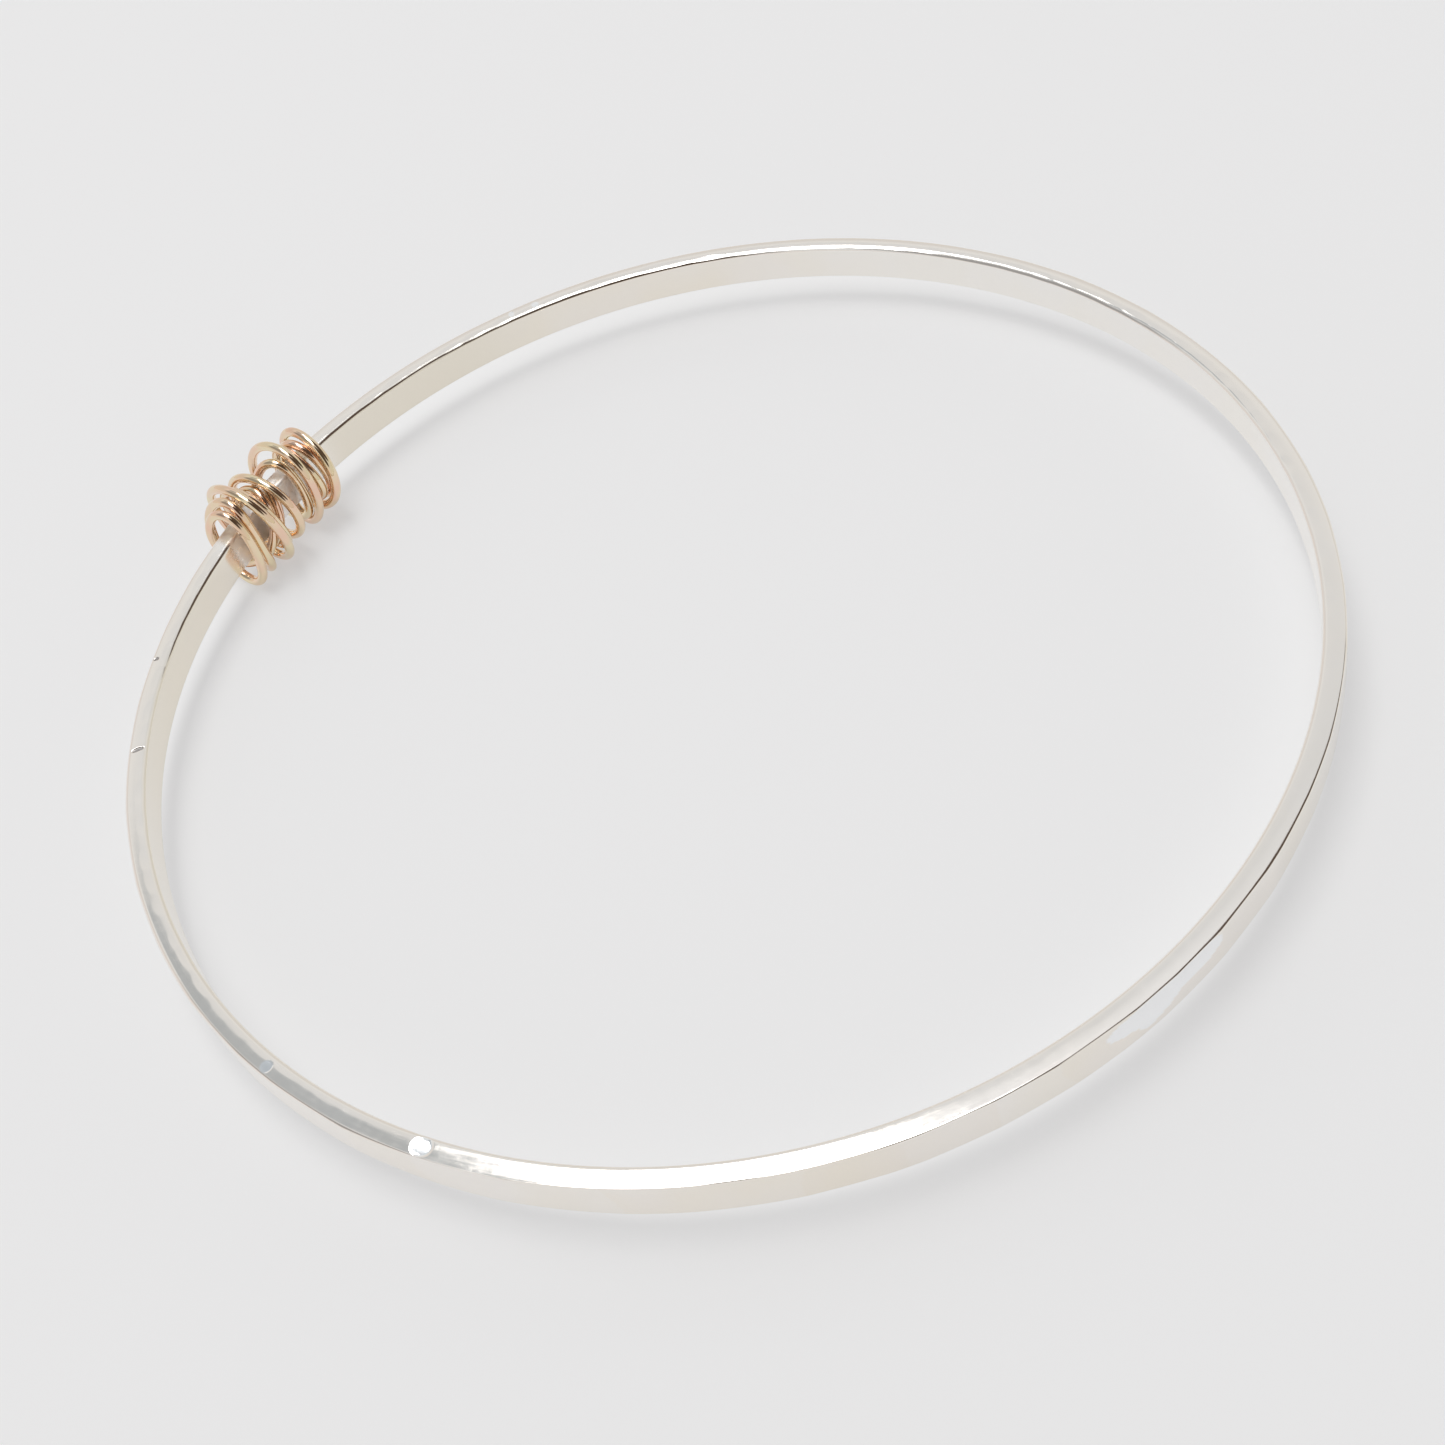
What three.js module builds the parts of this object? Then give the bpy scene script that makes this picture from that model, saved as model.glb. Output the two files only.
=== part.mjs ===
// A hammered hoop bangle with one length of fine wire wound loosely round it.
// Units are millimetres. +Z is the hoop's axis, and the origin is the hoop's centre,
// halfway up the band.
import * as THREE from "three";

// Hoop: a closed, hammered band.
const INSIDE_DIAMETER = 65;
const BAND_THICKNESS = 1.3;
const BAND_HEIGHT = 2.5;
const INNER_EDGE_RADIUS = 0.2;
const OUTER_EDGE_RADIUS = 0.35;
const EDGE_STEPS = 2;
const HAMMER_MARKS = 36;
const STEPS_PER_MARK = 4;
const MARK_DEPTH = 0.07;
const RIM_MARK_DEPTH = 0.04;

// Wire wrap: one length of round wire, wound round the band.
const WIRE_DIAMETER = 0.6;
const WIRE_SIDES = 8;
const STEPS_PER_TURN = 20;
const WRAP_ANGLE = THREE.MathUtils.degToRad(136);

// The wire's turns, in the order in which it was wound. inner and outer are where a turn
// crosses the band's inner wall and then its outer wall, along the band from the middle of
// the wrap, and innerReach and outerReach are how far it then stands from the middle of the
// band's section. rise is the turn's half-height, and lean is how far its lower end is
// shifted along the band.
const TURNS = [
  { inner: 0.75, outer: 1.0, innerReach: 1.45, outerReach: 1.75, rise: 1.9, lean: 0.85 },
  { inner: 1.5, outer: 3.6, innerReach: 1.5, outerReach: 1.8, rise: 1.9, lean: 0.5 },
  { inner: 3.95, outer: 2.9, innerReach: 1.75, outerReach: 2.5, rise: 2.75, lean: 0.45 },
  { inner: 3.15, outer: 1.4, innerReach: 1.55, outerReach: 3.3, rise: 2.85, lean: 0.25 },
  { inner: 2.15, outer: 1.15, innerReach: 2.75, outerReach: 2.4, rise: 3.05, lean: -0.4 },
  { inner: 1.5, outer: 0.25, innerReach: 2.15, outerReach: 2.7, rise: 2.4, lean: -0.15 },
  { inner: 0.25, outer: -0.8, innerReach: 2.6, outerReach: 1.7, rise: 2.45, lean: 0.1 },
  { inner: -1.85, outer: -1.9, innerReach: 1.4, outerReach: 3.0, rise: 2.15, lean: 0.3 },
  { inner: -1.9, outer: -2.7, innerReach: 2.5, outerReach: 1.5, rise: 3.1, lean: 0.35 },
  { inner: -2.85, outer: -3.35, innerReach: 2.1, outerReach: 1.7, rise: 1.8, lean: 0.0 },
  { inner: -3.8, outer: -3.95, innerReach: 1.8, outerReach: 2.1, rise: 2.2, lean: 0.0 },
  { inner: -3.55, outer: -3.6, innerReach: 2.75, outerReach: 2.5, rise: 2.5, lean: 0.55 },
];
// The wire starts and ends part of a turn before the first crossing and after the last.
const FIRST_TURN = -0.3;
const LAST_TURN = 11.27;

const INSIDE_RADIUS = INSIDE_DIAMETER / 2;
const OUTSIDE_RADIUS = INSIDE_RADIUS + BAND_THICKNESS;
const MIDDLE_RADIUS = INSIDE_RADIUS + BAND_THICKNESS / 2;
const HALF_HEIGHT = BAND_HEIGHT / 2;

const silver = new THREE.MeshStandardMaterial({ color: 0xd9d4cd, roughness: 0.22, metalness: 1 });
const gold = new THREE.MeshStandardMaterial({ color: 0xe2b48a, roughness: 0.12, metalness: 1 });

// The band's section: a flat wall to the wrist, and softly rounded edges.
function bandSection() {
  const quarter = Math.PI / 2;
  const corners = [
    [OUTSIDE_RADIUS, -HALF_HEIGHT, OUTER_EDGE_RADIUS, -1, 1, -quarter],
    [OUTSIDE_RADIUS, HALF_HEIGHT, OUTER_EDGE_RADIUS, -1, -1, 0],
    [INSIDE_RADIUS, HALF_HEIGHT, INNER_EDGE_RADIUS, 1, -1, quarter],
    [INSIDE_RADIUS, -HALF_HEIGHT, INNER_EDGE_RADIUS, 1, 1, 2 * quarter],
  ];
  const points = [];
  for (const [x, y, radius, inX, inY, from] of corners) {
    for (let step = 0; step <= EDGE_STEPS; step += 1) {
      const turn = from + (quarter * step) / EDGE_STEPS;
      const across = x + radius * (inX + Math.cos(turn));
      const up = y + radius * (inY + Math.sin(turn));
      points.push(new THREE.Vector2(across, up));
    }
  }
  points.push(points[0].clone());
  return points;
}

// Every other stretch of the band is struck flatter: its outer wall and its rims stand lower.
function hammer(geometry) {
  const position = geometry.attributes.position;
  const point = new THREE.Vector3();
  for (let i = 0; i < position.count; i += 1) {
    point.fromBufferAttribute(position, i);
    const angle = Math.atan2(point.y, point.x) - WRAP_ANGLE;
    const struck = Math.cos(HAMMER_MARKS * angle) < 0;
    const radius = Math.hypot(point.x, point.y);
    if (struck && radius > MIDDLE_RADIUS) {
      const scale = (radius - MARK_DEPTH) / radius;
      point.x *= scale;
      point.y *= scale;
    }
    if (struck) {
      point.z -= Math.sign(point.z) * RIM_MARK_DEPTH;
    }
    position.setXYZ(i, point.x, point.y, point.z);
  }
}

function makeHoop() {
  const segments = HAMMER_MARKS * STEPS_PER_MARK;
  const geometry = new THREE.LatheGeometry(bandSection(), segments);
  geometry.rotateX(Math.PI / 2);
  // Half a step of turn brings the middle of an unstruck stretch to the wrap and opposite it.
  geometry.rotateZ(WRAP_ANGLE + Math.PI / segments);
  hammer(geometry);
  const hoop = new THREE.Mesh(geometry, silver);
  hoop.name = "hoop";
  return hoop;
}

// A smooth value at any place in a list, by a uniform Catmull-Rom curve through the list.
function between(values, place) {
  const at = (i) => values[THREE.MathUtils.clamp(i, 0, values.length - 1)];
  const whole = Math.floor(place);
  const u = place - whole;
  const [a, b, c, d] = [at(whole - 1), at(whole), at(whole + 1), at(whole + 2)];
  const bend = 2 * a - 5 * b + 4 * c - d + u * (3 * (b - c) + d - a);
  return b + 0.5 * u * (c - a + u * bend);
}

// The wire's centre line. A whole turn number is at the band's inner wall, and the wire then
// goes down, under the band, up its outer wall and over the top.
class WrapCurve extends THREE.Curve {
  constructor() {
    super();
    this.arcLengthDivisions = 2400;
    this.along = TURNS.flatMap((turn) => [turn.inner, turn.outer]);
    this.reach = TURNS.flatMap((turn) => [turn.innerReach, turn.outerReach]);
    this.rise = TURNS.map((turn) => turn.rise);
    this.lean = TURNS.map((turn) => turn.lean);
  }

  getPoint(fraction, target = new THREE.Vector3()) {
    const turn = THREE.MathUtils.lerp(FIRST_TURN, LAST_TURN, fraction);
    const phase = 2 * Math.PI * turn;
    const along = between(this.along, 2 * turn) + between(this.lean, turn) * Math.sin(phase);
    const radius = MIDDLE_RADIUS - between(this.reach, 2 * turn) * Math.cos(phase);
    const height = -between(this.rise, turn) * Math.sin(phase);
    const angle = WRAP_ANGLE + along / MIDDLE_RADIUS;
    return target.set(radius * Math.cos(angle), radius * Math.sin(angle), height);
  }
}

function wireSection() {
  const points = [];
  for (let side = 0; side < WIRE_SIDES; side += 1) {
    const turn = (2 * Math.PI * side) / WIRE_SIDES;
    points.push(new THREE.Vector2(Math.cos(turn), Math.sin(turn)).multiplyScalar(WIRE_DIAMETER / 2));
  }
  return new THREE.Shape(points);
}

function makeWireWrap() {
  const steps = Math.round((LAST_TURN - FIRST_TURN) * STEPS_PER_TURN);
  const settings = { steps, extrudePath: new WrapCurve() };
  const wrap = new THREE.Mesh(new THREE.ExtrudeGeometry(wireSection(), settings), gold);
  wrap.name = "wire_wrap";
  return wrap;
}

const bangle = new THREE.Group();
bangle.add(makeHoop(), makeWireWrap());

export default bangle;
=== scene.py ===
# A hammered silver bangle with one length of gold wire wound loosely round it.
import math

import bpy
import numpy as np
from mathutils import Matrix, Vector


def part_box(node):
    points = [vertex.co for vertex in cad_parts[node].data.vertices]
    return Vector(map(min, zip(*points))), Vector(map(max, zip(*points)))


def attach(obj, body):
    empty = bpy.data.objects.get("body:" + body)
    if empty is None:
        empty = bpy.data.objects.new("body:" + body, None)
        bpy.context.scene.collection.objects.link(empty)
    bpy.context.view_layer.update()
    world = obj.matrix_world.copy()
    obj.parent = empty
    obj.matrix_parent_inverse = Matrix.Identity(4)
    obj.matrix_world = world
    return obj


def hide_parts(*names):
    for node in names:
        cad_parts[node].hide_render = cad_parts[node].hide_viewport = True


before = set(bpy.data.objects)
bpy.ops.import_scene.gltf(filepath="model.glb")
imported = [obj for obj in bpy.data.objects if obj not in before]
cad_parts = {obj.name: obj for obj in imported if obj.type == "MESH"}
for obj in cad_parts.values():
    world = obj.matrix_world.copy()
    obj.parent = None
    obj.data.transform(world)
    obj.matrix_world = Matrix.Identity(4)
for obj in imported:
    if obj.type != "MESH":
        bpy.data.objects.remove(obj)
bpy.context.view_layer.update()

MM = 0.001

# The hoop, in millimetres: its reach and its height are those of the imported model. +Z is
# its axis.
INSIDE_RADIUS = 32.5
OUTSIDE_RADIUS = 33.76
HALF_HEIGHT = 1.25
# How round its edges are, and how far the outer wall falls away towards them.
INNER_EDGE_RADIUS = 0.26
WORN_EDGE_RADIUS = 0.3
CRISP_EDGE_RADIUS = 0.08
WALL_CROWN = 0.03
# Where the outer edges are crisp (1) and where they are worn round (0), by degrees.
CRISPNESS = [(0, 0.1), (195, 0), (210, 0.5), (240, 1), (272, 1), (288, 0.75), (325, 0.8), (350, 0.3)]
# How far the rims fall away towards their edges, at places round the band in degrees.
RIM_CROWNS = [
    (0, 0.06), (30, 0.10), (60, 0.13), (85, 0.10), (120, 0.05), (150, 0.05), (190, 0.05),
    (228, 0.06), (238, 0.004), (255, 0.004), (286, 0.05), (330, 0.05),
]
# How clean the inner wall is, from wear, round the band.
INSIDE_POLISH = [(0, 0.45), (55, 0.45), (78, 0.1), (120, 0.0), (150, 0.0), (200, 0.2), (330, 0.4)]
# How strongly a creamy, warm reflection is painted on the inner wall, round the band.
PAINTED_WARM_REFLECTION = [
    (0, 0.1), (60, 0.05), (95, 0.3), (108, 0.95), (124, 0.9), (130, 0.2), (144, 0.2),
    (152, 0.8), (165, 0.9), (190, 0.8), (215, 0.3), (240, 0.1),
]
# The band is scuffed, and painted lighter against the wire's shade, for this far to each side of
# the wrap's middle, and a high power gives both a short edge.
SCUFF_REACH = 4.7
SCUFF_POWER = 6
COLUMNS = 1260
# Hammer marks all round: spacing, usual length, width and depth, and drift across the band.
WALL_MARKS = (4.4, 6.5, 4.0, 0.06, 0.5)
RIM_MARKS = (5.5, 8.0, 3.0, 0.012, 0.25)
EDGE_DENTS = (2.1, 1.9, 0.7, 0.02, 0.08)
# Where the dents in the inner edge lie, how clean the cleanest hammer mark is, and how soft
# the rim of every mark is.
EDGE_DENT_RADIUS = INSIDE_RADIUS + 0.25
MARK_POLISH = 0.3
MARK_RIM_SOFTNESS = 0.001
# Nicks and facets are ovals, whole out to this share of their size and gone after the rim.
OVAL_CORE = 0.8
OVAL_RIM = 0.4
# Round each nick and facet the columns are closer: for how many degrees to each side, and
# how many columns there are.
FINE_REACH = 1.3
FINE_COLUMNS = 66
# Marks on the outer wall that were polished after hammering: degrees, height, length,
# width and depth.
POLISHED_MARKS = [
    (291.2, 0.45, 4.6, 2.0, 0.075),
    (295.2, 0.4, 5.0, 2.2, 0.08),
    (299.4, 0.5, 4.6, 1.9, 0.075),
]
# Small flat facets on the upper rim: degrees, offset across, length, width, depth and
# slope along the band.
FACETS = [
    (232.7, 0.0, 1.15, 1.0, 0.045, 0.045),
    (97.4, -0.1, 0.5, 0.5, 0.02, 0.05),
    (100.3, -0.05, 0.4, 0.5, 0.02, -0.06),
    (215.4, 0.1, 0.7, 0.7, 0.02, 0.03),
]
# Nicks in the upper rim: degrees, offset across, length, width, depth and slant.
NICKS = [
    (160.2, 0.2, 0.24, 0.36, 0.04, 0.1),
    (172.1, -0.05, 0.3, 0.66, 0.06, 0.2),
]

# The wire wrap, in millimetres, turn by turn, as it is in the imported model.
WRAP_DEGREES = 136
WRAP_ANGLE = math.radians(WRAP_DEGREES)
MIDDLE_RADIUS = 33.15
WIRE_RADIUS = 0.3
WIRE_SIDES = 24
END_BULGE = 0.12
END_SHARES = [0.35, 0.7, 0.9]
STEPS_PER_TURN = 96
FIRST_TURN = -0.3
LAST_TURN = 11.27
# For each turn: where it crosses the band's inner and outer wall, along the band; how far
# it stands from the middle of the band there; its half-height; and how far its lower end
# is shifted along the band.
TURNS = np.array([
    (0.75, 1.0, 1.45, 1.75, 1.9, 0.85),
    (1.5, 3.6, 1.5, 1.8, 1.9, 0.5),
    (3.95, 2.9, 1.75, 2.5, 2.75, 0.45),
    (3.15, 1.4, 1.55, 3.3, 2.85, 0.25),
    (2.15, 1.15, 2.75, 2.4, 3.05, -0.4),
    (1.5, 0.25, 2.15, 2.7, 2.4, -0.15),
    (0.25, -0.8, 2.6, 1.7, 2.45, 0.1),
    (-1.85, -1.9, 1.4, 3.0, 2.15, 0.3),
    (-1.9, -2.7, 2.5, 1.5, 3.1, 0.35),
    (-2.85, -3.35, 2.1, 1.7, 1.8, 0.0),
    (-3.8, -3.95, 1.8, 2.1, 2.2, 0.0),
    (-3.55, -3.6, 2.75, 2.5, 2.5, 0.55),
])

# Camera: where it stands from the middle of the hoop's lower rim, and how it is turned.
CAMERA_DISTANCE = 115.245
CAMERA_ELEVATION = math.radians(46.8)
CAMERA_ROLL = math.radians(-17.83)
CAMERA_PAN = 0.003
CAMERA_TILT = -0.032
CAMERA_LENS = 51.35
SENSOR_WIDTH = 36
CLIP_START = 0.005

random = np.random.default_rng(5)


# ---------------------------------------------------------------- meshes
def grid_mesh(name, points, closed_columns):
    """A mesh over rows of points: points[column][row], with each column a closed ring."""
    columns, rows = points.shape[:2]
    first = np.arange(columns if closed_columns else columns - 1)[:, None]
    row = np.arange(rows)[None, :]
    after = (first + 1) % columns
    up = (row + 1) % rows
    corners = [first * rows + row, after * rows + row, after * rows + up, first * rows + up]
    faces = np.stack([np.broadcast_to(c, (len(first), rows)) for c in corners], -1).reshape(-1, 4)
    mesh = bpy.data.meshes.new(name)
    caps = []
    if not closed_columns:
        caps = [list(range(rows)), list(range(columns * rows - 1, (columns - 1) * rows - 1, -1))]
    mesh.from_pydata((points.reshape(-1, 3) * MM).tolist(), [], faces.tolist() + caps)
    mesh.validate()
    mesh.update()
    mesh.shade_smooth()
    return mesh


def add_piece(name, mesh, body, node, material):
    """A visible piece that rides on a body and stands for one CAD node."""
    piece = bpy.data.objects.new(name, mesh)
    bpy.context.scene.collection.objects.link(piece)
    mesh.materials.append(material)
    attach(piece, body)
    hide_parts(node)
    return piece


def store(mesh, name, values, kind="FLOAT"):
    """Keep one value for each point of a mesh, for its material to read."""
    attribute = mesh.attributes.new(name, kind, "POINT")
    key = "vector" if kind == "FLOAT_VECTOR" else "value"
    attribute.data.foreach_set(key, np.ascontiguousarray(values, dtype=np.float32).ravel())


# ---------------------------------------------------------------- hoop
def hoop_section(outer_edge_radius):
    """The band's outline as rows of radius, height and outward normal."""
    inner, outer = INNER_EDGE_RADIUS, outer_edge_radius
    # Each corner: centre radius and height, its own radius, start and end directions, rows
    # in the corner, and rows on the flat that follows it.
    corners = [
        (INSIDE_RADIUS + inner, HALF_HEIGHT - inner, inner, 180, 90, 9, 14),
        (OUTSIDE_RADIUS - outer, HALF_HEIGHT - outer, outer, 90, 0, 9, 18),
        (OUTSIDE_RADIUS - outer, -HALF_HEIGHT + outer, outer, 0, -90, 9, 12),
        (INSIDE_RADIUS + inner, -HALF_HEIGHT + inner, inner, -90, -180, 7, 12),
    ]
    arcs = []
    for r, z, radius, start, end, rows, _ in corners:
        turn = np.radians(np.linspace(start, end, rows))
        normal = np.stack([np.cos(turn), np.sin(turn)], -1)
        arcs.append(np.concatenate([(r, z) + radius * normal, normal], -1))
    section = []
    for i, arc in enumerate(arcs):
        next_arc = arcs[(i + 1) % len(arcs)]
        share = np.linspace(0, 1, corners[i][-1] + 1)[1:-1, None]
        section += [arc, arc[-1] + (next_arc[0] - arc[-1]) * share]
    return np.concatenate(section)


def ease(share):
    """0 to 1 with a level start and end."""
    share = np.clip(share, 0, 1)
    return share * share * (3 - 2 * share)


def dish(distance, across, length, width, depth):
    """The depth of a shallow hammer mark, with its rim just softened."""
    height = depth * (1 - (2 * distance / length) ** 2 - (2 * across / width) ** 2)
    return 0.5 * (height + np.sqrt(height ** 2 + MARK_RIM_SOFTNESS ** 2))


def arc_distance(angles, degrees):
    """Distance along the band from a place given in degrees, in millimetres."""
    gap = (angles - math.radians(degrees) + math.pi) % (2 * math.pi) - math.pi
    return gap * MIDDLE_RADIUS


def round_the_band(stations, angles):
    """A value at each angle, eased between stations given in degrees."""
    places = np.array([place for place, _ in stations] + [stations[0][0] + 360])
    values = np.array([value for _, value in stations] + [stations[0][1]])
    degrees = np.degrees(angles) % 360
    after = np.clip(np.searchsorted(places, degrees, side="right"), 1, len(places) - 1)
    share = (degrees - places[after - 1]) / (places[after] - places[after - 1])
    return values[after - 1] + (values[after] - values[after - 1]) * ease(share)


def scattered_marks(spacing, length, width, depth, drift):
    """Hammer marks all round the band: degrees, offset across, length, width and depth."""
    count = round(2 * math.pi * MIDDLE_RADIUS / spacing)
    places = (np.arange(count) + random.uniform(-0.3, 0.3, count)) * 360 / count
    offsets = random.uniform(-drift, drift, count)
    lengths = length * random.uniform(0.75, 1.3, count)
    widths = width * random.uniform(0.85, 1.2, count)
    depths = depth * random.uniform(0.5, 1.15, count)
    return np.stack([places, offsets, lengths, widths, depths], -1)


def hoop_columns():
    """Angles round the band, closer together where a small mark needs them."""
    even = np.linspace(0, 360, COLUMNS, endpoint=False)
    fine = [
        np.linspace(mark[0] - FINE_REACH, mark[0] + FINE_REACH, FINE_COLUMNS)
        for mark in NICKS + FACETS
    ]
    return np.radians(np.unique(np.concatenate([even, *fine]).round(4)))


def oval(along, across, length, width):
    """1 inside an oval and 0 outside it, eased over a narrow rim."""
    reach = np.sqrt((2 * along / length) ** 2 + (2 * across / width) ** 2)
    return 1 - ease((reach - OVAL_CORE) / OVAL_RIM)


def rim_marks(angles, across, usual):
    """The depth of a ring of marks on a rim."""
    depths = np.zeros_like(across)
    for place, offset, length, width, depth in scattered_marks(*usual):
        mark = dish(arc_distance(angles, place), across - offset, length, width, depth)
        depths = np.maximum(depths, mark)
    return depths


def make_hoop(material):
    """The band: a rounded rectangle in section, with hammer marks, facets and nicks."""
    angles = hoop_columns()[:, None]
    worn, crisp = hoop_section(WORN_EDGE_RADIUS), hoop_section(CRISP_EDGE_RADIUS)
    crispness = round_the_band(CRISPNESS, angles)[..., None]
    r, z, nr, nz = np.moveaxis(worn + (crisp - worn) * crispness, -1, 0)
    middle = (INSIDE_RADIUS + OUTSIDE_RADIUS) / 2
    half_width = (OUTSIDE_RADIUS - INSIDE_RADIUS) / 2
    outside, above, below = np.clip(nr, 0, 1), np.clip(nz, 0, 1), np.clip(-nz, 0, 1)

    outer = np.zeros_like(r)
    polish = round_the_band(INSIDE_POLISH, angles) * np.clip(-nr, 0, 1)
    for place, offset, length, width, depth in scattered_marks(*WALL_MARKS):
        mark = dish(arc_distance(angles, place), z - offset, length, width, depth)
        marked = (mark > outer) & (nr > 0)
        polish = np.where(marked, random.uniform(0, MARK_POLISH) * outside, polish)
        outer = np.maximum(outer, mark)
    for place, offset, length, width, depth in POLISHED_MARKS:
        mark = dish(arc_distance(angles, place), z - offset, length, width, depth)
        polish = np.where((mark > outer) & (nr > 0), outside, polish)
        outer = np.maximum(outer, mark)
    top = rim_marks(angles, r - middle, RIM_MARKS)
    bottom = rim_marks(angles, r - middle, RIM_MARKS)
    dents = rim_marks(angles, r - EDGE_DENT_RADIUS, EDGE_DENTS)
    top = top + dents * (1 - crispness[..., 0])
    for place, offset, length, width, depth, tilt in FACETS:
        along = arc_distance(angles, place)
        inside = oval(along, r - middle - offset, length, width)
        top = np.maximum(top, (depth + tilt * along) * inside)
        polish = np.maximum(polish, inside * above)
    nicked = np.zeros_like(r)
    for place, offset, length, width, depth, slant in NICKS:
        across = r - middle - offset
        along = arc_distance(angles, place) - slant * across
        nick = oval(along, across, length, width)
        top = top + depth * nick * above
        nicked = np.maximum(nicked, nick * above)

    crown = round_the_band(RIM_CROWNS, angles) * ((r - middle) / half_width) ** 2
    wall_crown = WALL_CROWN * (z / HALF_HEIGHT) ** 2
    radius = r - outside * (outer + wall_crown)
    height = z - above * (top + crown) + below * (bottom + crown)
    points = np.stack([radius * np.cos(angles), radius * np.sin(angles), height], -1)
    mesh = grid_mesh("hoop_silver", points, True)
    store(mesh, "polish", polish)
    store(mesh, "rim", above + below)
    store(mesh, "nick", nicked)
    # The inner wall gets a painted warm reflection, stronger at some places round the band.
    store(mesh, "painted_warm_reflection", round_the_band(PAINTED_WARM_REFLECTION, angles) * np.clip(-nr, 0, 1))
    # Near the wrap the band is scuffed rougher and painted lighter against the wire's shade.
    from_wrap = arc_distance(angles, WRAP_DEGREES)
    scuff_and_painted_light = np.exp(-((from_wrap / SCUFF_REACH) ** SCUFF_POWER))
    store(mesh, "scuff_and_painted_light", np.broadcast_to(scuff_and_painted_light, r.shape))
    return add_piece("hoop_silver", mesh, "hoop", "hoop", material)


# ---------------------------------------------------------------- wire
def between(values, place):
    """A smooth value at any place in a list, by a uniform Catmull-Rom curve through the list."""
    whole = np.floor(place).astype(int)
    u = place - whole
    a, b, c, d = [values[np.clip(whole + k, 0, len(values) - 1)] for k in (-1, 0, 1, 2)]
    bend = 2 * a - 5 * b + 4 * c - d + u * (3 * (b - c) + d - a)
    return b + 0.5 * u * (c - a + u * bend)


def wire_path():
    """The wire's centre line, wound turn by turn round the band."""
    turn = np.linspace(FIRST_TURN, LAST_TURN, round((LAST_TURN - FIRST_TURN) * STEPS_PER_TURN) + 1)
    phase = 2 * math.pi * turn
    rise, lean = between(TURNS[:, 4], turn), between(TURNS[:, 5], turn)
    along = between(TURNS[:, :2].ravel(), 2 * turn) + lean * np.sin(phase)
    radius = MIDDLE_RADIUS - between(TURNS[:, 2:4].ravel(), 2 * turn) * np.cos(phase)
    angle = WRAP_ANGLE + along / MIDDLE_RADIUS
    return np.stack([radius * np.cos(angle), radius * np.sin(angle), -rise * np.sin(phase)], -1)


def frames_along(path):
    """Unit tangents, and two unit vectors across each, carried along without twisting."""
    tangent = np.gradient(path, axis=0)
    tangent /= np.linalg.norm(tangent, axis=1)[:, None]
    side = np.zeros_like(path)
    carried = np.cross(tangent[0], (0, 0, 1))
    for i, t in enumerate(tangent):
        carried = carried - t * (carried @ t)
        carried /= np.linalg.norm(carried)
        side[i] = carried
    return tangent, side, np.cross(tangent, side)


def make_wire(material):
    """The wire wrap: one round wire with rounded ends."""
    path = wire_path()
    tangent, side, up = frames_along(path)
    around = np.linspace(0, 2 * math.pi, WIRE_SIDES, endpoint=False)
    cos, sin = np.cos(around)[None, :, None], np.sin(around)[None, :, None]
    ring = cos * side[:, None, :] + sin * up[:, None, :]
    body = path[:, None, :] + WIRE_RADIUS * ring
    # Each cut end is rounded over a short length.
    shares = np.array(END_SHARES)[:, None, None]
    bulge = END_BULGE * np.sqrt(1 - shares ** 2)
    start = path[0] - tangent[0] * bulge + WIRE_RADIUS * shares * ring[0]
    end = path[-1] + tangent[-1] * bulge + WIRE_RADIUS * shares * ring[-1]
    points = np.concatenate([start, body, end[::-1]])
    mesh = grid_mesh("wire_wrap_gold", points, False)
    step = np.linalg.norm(np.diff(path, axis=0), axis=1)
    distance = np.concatenate([[0], np.cumsum(step)])
    lengths = np.pad(distance, len(END_SHARES), mode="edge")
    # Round the wire, and along it in millimetres.
    lay = np.zeros(points.shape)
    lay[..., 0] = np.cos(around)
    lay[..., 1] = np.sin(around)
    lay[..., 2] = lengths[:, None]
    store(mesh, "lay", lay, "FLOAT_VECTOR")
    return add_piece("wire_wrap_gold", mesh, "wire_wrap", "wire_wrap", material)


# ---------------------------------------------------------------- materials
# Silver: on the walls, where it has been rubbed down, in warm patches, with a painted warm
# reflection inside, in polished marks, painted lighter against shade under the wrap, and with
# painted shade in the nicks.
SILVER_WALL = (0.92, 0.868, 0.80, 1)
SILVER_CLEAN = (0.935, 0.898, 0.856, 1)
SILVER_WARM = (0.925, 0.865, 0.765, 1)
SILVER_WARM_REFLECTION = (0.86, 0.805, 0.70, 1)
SILVER_POLISHED = (0.965, 0.975, 0.985, 1)
SILVER_PAINTED_LIGHT = (0.985, 0.98, 0.97, 1)
SILVER_NICK_SHADE = (0.38, 0.36, 0.35, 1)
# Gold: rose and yellow tints, painted on in patches as reflections.
GOLD_ROSE_REFLECTION = (0.885, 0.63, 0.485, 1)
GOLD_YELLOW_REFLECTION = (0.87, 0.75, 0.525, 1)
BUMP_HEIGHT = 0.000005
# Noise in the silver, per millimetre: broad clouds, warm patches and fine grain.
CLOUD_SCALE = 0.22
WARM_SCALE = 0.16
GRAIN_SCALE = 2.2
# Scratches are close together across the band and long along it.
SCRATCHES_ACROSS = 9.0
SCRATCHES_ALONG = 0.35
# Scales round and along the wire, for its drawing lines and for its patches of painted reflection.
DRAWING_LINES = (4.0, 4.0, 0.3)
GOLD_REFLECTION_PATCHES = (0.3, 0.3, 0.5)


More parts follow.
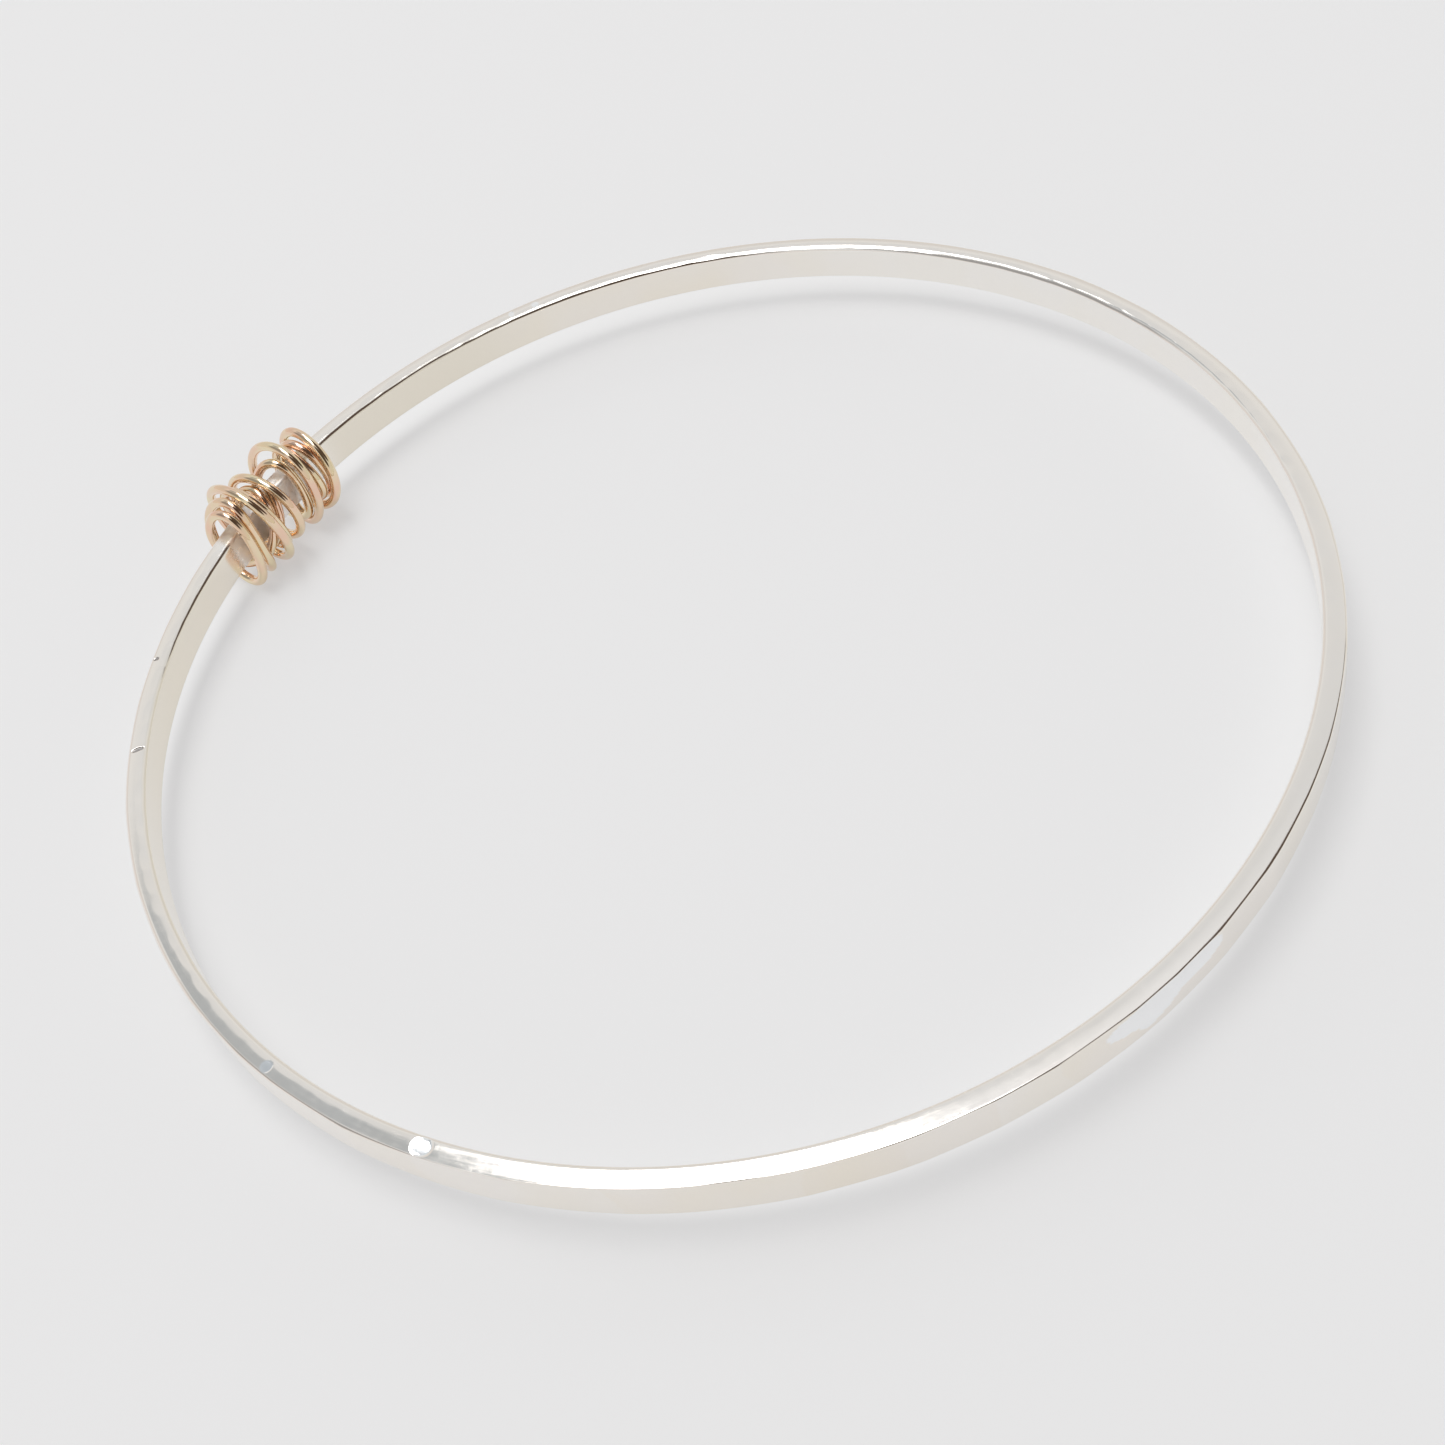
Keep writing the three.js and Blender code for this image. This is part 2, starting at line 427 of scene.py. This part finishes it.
class Nodes:
    """A short way to write a node tree."""

    def __init__(self, tree):
        self.tree = tree
        tree.nodes.clear()

    def add(self, kind, inputs=None, **settings):
        node = self.tree.nodes.new(kind)
        for key, value in settings.items():
            setattr(node, key, value)
        for key, value in (inputs or {}).items():
            if isinstance(value, bpy.types.NodeSocket):
                self.tree.links.new(value, node.inputs[key])
            else:
                node.inputs[key].default_value = value
        return node

    def math(self, operation, *values):
        return self.add("ShaderNodeMath", dict(enumerate(values)), operation=operation).outputs[0]

    def scale(self, vector, factors):
        inputs = {0: vector, 1: factors}
        return self.add("ShaderNodeVectorMath", inputs, operation="MULTIPLY").outputs[0]

    def attribute(self, name, output="Fac"):
        node = self.add("ShaderNodeAttribute", attribute_name=name, attribute_type="GEOMETRY")
        return node.outputs[output]

    def noise(self, vector, scale, detail=2.0, roughness=0.5):
        inputs = {"Vector": vector, "Scale": scale, "Detail": detail, "Roughness": roughness}
        return self.add("ShaderNodeTexNoise", inputs).outputs["Fac"]

    def between(self, factor, low, high, to_low=0.0, to_high=1.0):
        inputs = {0: factor, 1: low, 2: high, 3: to_low, 4: to_high}
        return self.add("ShaderNodeMapRange", inputs).outputs[0]

    def mix(self, factor, a, b):
        node = self.add("ShaderNodeMix", data_type="RGBA")
        for index, value in ((0, factor), (6, a), (7, b)):
            if isinstance(value, bpy.types.NodeSocket):
                self.tree.links.new(value, node.inputs[index])
            else:
                node.inputs[index].default_value = value
        return node.outputs[2]


def new_material(name):
    """An empty material and its node tree."""
    material = bpy.data.materials.new(name)
    material.use_nodes = True
    return material, Nodes(material.node_tree)


def finish_metal(n, tint, rough, height):
    """A polished metal with a very fine relief."""
    relief = {"Height": height, "Strength": 0.3, "Distance": BUMP_HEIGHT}
    shader = n.add("ShaderNodeBsdfPrincipled", {
        "Base Color": tint,
        "Metallic": 1.0,
        "Roughness": rough,
        "Normal": n.add("ShaderNodeBump", relief).outputs[0],
    })
    n.add("ShaderNodeOutputMaterial", {"Surface": shader.outputs[0]})


def silver_material():
    """Hammered silver, clean on the rims, with a painted warm reflection inside and scratches along
    the band.
    """
    material, n = new_material("hammered_silver")
    place = n.add("ShaderNodeTexCoord").outputs["Object"]
    in_mm = n.scale(place, (1000, 1000, 1000))
    split = n.add("ShaderNodeSeparateXYZ", {0: in_mm})
    x, y, z = split.outputs
    radius = n.math("SQRT", n.math("ADD", n.math("MULTIPLY", x, x), n.math("MULTIPLY", y, y)))
    across = n.math("MULTIPLY", n.math("ADD", radius, z), SCRATCHES_ACROSS)
    slow_x = n.math("MULTIPLY", x, SCRATCHES_ALONG)
    slow_y = n.math("MULTIPLY", y, SCRATCHES_ALONG)
    lines = n.add("ShaderNodeCombineXYZ", {0: slow_x, 1: slow_y, 2: across})
    scratches = n.noise(lines.outputs[0], 1.0, 4.0, 0.6)
    clouds = n.noise(in_mm, CLOUD_SCALE, 3.0)
    grain = n.noise(in_mm, GRAIN_SCALE, 4.0, 0.6)
    names = ("polish", "rim", "nick", "painted_warm_reflection", "scuff_and_painted_light")
    polish, rim, nick, painted_warm_reflection, scuff_and_painted_light = [n.attribute(name) for name in names]
    # The rims were rubbed down last, so they are cleaner than the walls.
    clean = n.math("ADD", n.between(clouds, 0.35, 0.65, 0.0, 0.35), n.math("MULTIPLY", rim, 0.5))
    tint = n.mix(clean, SILVER_WALL, SILVER_CLEAN)
    warm = n.between(n.noise(in_mm, WARM_SCALE, 2.0), 0.42, 0.62, 0.0, 0.9)
    walls = n.math("SUBTRACT", 1.0, rim)
    tint = n.mix(n.math("MULTIPLY", warm, walls), tint, SILVER_WARM)
    # A warm reflection is painted on the inner wall.
    tint = n.mix(painted_warm_reflection, tint, SILVER_WARM_REFLECTION)
    # Under the wrap the band is painted lighter, against the shade of the wire; it is also rougher
    # there, scuffed by the wire.
    tint = n.mix(scuff_and_painted_light, tint, SILVER_PAINTED_LIGHT)
    tint = n.mix(polish, tint, SILVER_POLISHED)
    # The nicks are painted dark, as painted shade.
    tint = n.mix(nick, tint, SILVER_NICK_SHADE)
    rough = n.between(grain, 0.3, 0.7, 0.07, 0.13)
    rough = n.math("ADD", rough, n.between(scratches, 0.35, 0.7, -0.01, 0.05))
    rough = n.math("ADD", rough, n.math("MULTIPLY", nick, 0.3))
    rough = n.math("ADD", rough, n.math("MULTIPLY", scuff_and_painted_light, n.between(grain, 0.35, 0.6, 0.26, 0.42)))
    height = n.math("ADD", n.math("MULTIPLY", scratches, 0.5), grain)
    finish_metal(n, tint, rough, height)
    return material


def gold_material():
    """Drawn gold wire with rose and yellow reflections painted on in patches."""
    material, n = new_material("gold_wire")
    lay = n.attribute("lay", "Vector")
    lines = n.noise(n.scale(lay, DRAWING_LINES), 1.0, 4.0, 0.6)
    patches = n.noise(n.scale(lay, GOLD_REFLECTION_PATCHES), 1.0, 2.0)
    # Rose and yellow reflections are painted on in patches.
    tint = n.mix(n.between(patches, 0.35, 0.65), GOLD_ROSE_REFLECTION, GOLD_YELLOW_REFLECTION)
    rough = n.between(lines, 0.3, 0.7, 0.015, 0.04)
    rough = n.math("ADD", rough, n.between(patches, 0.3, 0.7, 0.0, 0.015))
    finish_metal(n, tint, rough, lines)
    return material


def floor_material():
    """A matt pale table that also glows a little."""
    material, n = new_material("pale_floor")
    shader = n.add("ShaderNodeBsdfPrincipled", {
        "Base Color": (*FLOOR_COLOR, 1),
        "Roughness": 0.9,
        "Emission Color": (*FLOOR_GLOW, 1),
        "Emission Strength": 1.0,
    })
    n.add("ShaderNodeOutputMaterial", {"Surface": shader.outputs[0]})
    return material


# ---------------------------------------------------------------- scene
# The room's colour from the floor (0) to overhead (1), and near the floor at each side.
ROOM_STOPS = [
    (0.0, (0.70, 0.68, 0.66)),
    (0.45, (0.71, 0.69, 0.67)),
    (0.62, (0.81, 0.81, 0.80)),
    (0.8, (0.70, 0.71, 0.72)),
    (1.0, (0.95, 0.96, 0.98)),
]
ROOM_LEFT = (0.79, 0.72, 0.68)
ROOM_RIGHT = (0.72, 0.715, 0.64)
# Darker things in the room: bearing, elevation, radius of the dark, radius of its edge
# (degrees) and colour.
ROOM_PATCHES = [
    (180, 47, 23, 29, (0.085, 0.060, 0.045)),
    (96, 49, 27.5, 30, (0.10, 0.070, 0.055)),
    (-88, 42, 18, 27, (0.34, 0.33, 0.325)),
    (-33, 53, 8, 11, (0.45, 0.475, 0.495)),
]
# The floor is a lit table: part of its light is its own, so shadows on it stay faint.
FLOOR_COLOR = (0.43, 0.43, 0.43)
FLOOR_GLOW = (0.435, 0.438, 0.445)
FLOOR_SIZE = 12
# The wire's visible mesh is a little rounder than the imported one, so the floor lies this
# much lower, in millimetres.
FLOOR_GAP = 0.02
# Each soft light: bearing and elevation in degrees, then distance, width and height.
SOFTBOXES = {
    "window": (-9.5, 71, 0.6, 0.112, 0.34),
    "skylight": (-50, 80, 0.59, 0.27, 0.27),
}
SOFTBOX_RADIANCE = 3.4
SOFTBOX_COLOR = (1, 0.995, 0.985)
# The lights look at the near side of the bangle, in millimetres.
LIT_PLACE = (-7, -30, 0)


def make_floor():
    """A level floor just under the wrap's lowest turn, so the wrap clears it all the way round."""
    half = FLOOR_SIZE / 2
    mesh = bpy.data.meshes.new("floor")
    corners = [(-half, -half, 0), (half, -half, 0), (half, half, 0), (-half, half, 0)]
    mesh.from_pydata(corners, [], [(0, 1, 2, 3)])
    mesh.materials.append(floor_material())
    floor = bpy.data.objects.new("floor", mesh)
    bpy.context.scene.collection.objects.link(floor)
    wrap_low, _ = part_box("wire_wrap")
    floor.location.z = wrap_low[2] - FLOOR_GAP * MM


def towards(bearing, elevation):
    """A unit vector from a compass bearing, clockwise from +Y, and a height, in degrees."""
    b, e = math.radians(bearing), math.radians(elevation)
    return Vector((math.sin(b) * math.cos(e), math.cos(b) * math.cos(e), math.sin(e)))


def make_world():
    """A pale room: bright overhead, tinted near the floor, with a few darker things in it."""
    world = bpy.data.worlds.new("studio")
    world.use_nodes = True
    n = Nodes(world.node_tree)
    direction = n.add("ShaderNodeTexCoord").outputs["Generated"]
    x, _, z = n.add("ShaderNodeSeparateXYZ", {0: direction}).outputs
    ramp = n.add("ShaderNodeValToRGB", {"Fac": z})
    elements = ramp.color_ramp.elements
    while len(elements) < len(ROOM_STOPS):
        elements.new(0.5)
    for element, (position, color) in zip(elements, ROOM_STOPS):
        element.position = position
        element.color = (*color, 1)
    side = n.mix(n.between(x, -0.6, 0.6), (*ROOM_LEFT, 1), (*ROOM_RIGHT, 1))
    color = n.mix(n.between(z, 0.05, 0.45), side, ramp.outputs[0])
    for bearing, elevation, inner, outer, dark in ROOM_PATCHES:
        inputs = {0: direction, 1: towards(bearing, elevation)}
        facing = n.add("ShaderNodeVectorMath", inputs, operation="DOT_PRODUCT").outputs["Value"]
        edge, core = math.cos(math.radians(outer)), math.cos(math.radians(inner))
        color = n.mix(n.between(facing, edge, core), color, (*dark, 1))
    background = n.add("ShaderNodeBackground", {"Color": color})
    n.add("ShaderNodeOutputWorld", {"Surface": background.outputs[0]})
    bpy.context.scene.world = world


def add_softbox(name, bearing, elevation, distance, width, height):
    """A soft rectangular light that looks at the near side of the bangle."""
    away = towards(bearing, elevation)
    light = bpy.data.lights.new(name, "AREA")
    light.shape = "RECTANGLE"
    light.size = width
    light.size_y = height
    light.energy = SOFTBOX_RADIANCE * math.pi * width * height
    light.color = SOFTBOX_COLOR
    lamp = bpy.data.objects.new(name, light)
    lamp.location = Vector(LIT_PLACE) * MM + away * distance
    lamp.rotation_euler = away.to_track_quat("Z", "Y").to_euler()
    bpy.context.scene.collection.objects.link(lamp)


def make_camera():
    """The camera, at the photographed angle, turned a little round its line of sight."""
    back = Vector((0, -math.cos(CAMERA_ELEVATION), math.sin(CAMERA_ELEVATION)))
    right = Vector((1, 0, 0))
    up = back.cross(right)
    turned_right = right * math.cos(CAMERA_ROLL) + up * math.sin(CAMERA_ROLL)
    turned_up = up * math.cos(CAMERA_ROLL) - right * math.sin(CAMERA_ROLL)
    forward = (-back + CAMERA_PAN * turned_right + CAMERA_TILT * turned_up).normalized()
    across = (turned_right - forward * turned_right.dot(forward)).normalized()
    upward = across.cross(forward)
    camera_data = bpy.data.cameras.new("camera")
    camera_data.lens = CAMERA_LENS
    camera_data.sensor_width = SENSOR_WIDTH
    camera_data.clip_start = CLIP_START
    camera = bpy.data.objects.new("camera", camera_data)
    turn = Matrix((across, upward, -forward)).transposed().to_4x4()
    foot = Vector((0, 0, -HALF_HEIGHT * MM))
    camera.matrix_world = Matrix.Translation(foot + back * CAMERA_DISTANCE * MM) @ turn
    bpy.context.scene.collection.objects.link(camera)
    bpy.context.scene.camera = camera


make_camera()
make_hoop(silver_material())
make_wire(gold_material())
make_floor()
make_world()
for name, placing in SOFTBOXES.items():
    add_softbox(name, *placing)
bpy.context.scene.view_settings.view_transform = "Standard"
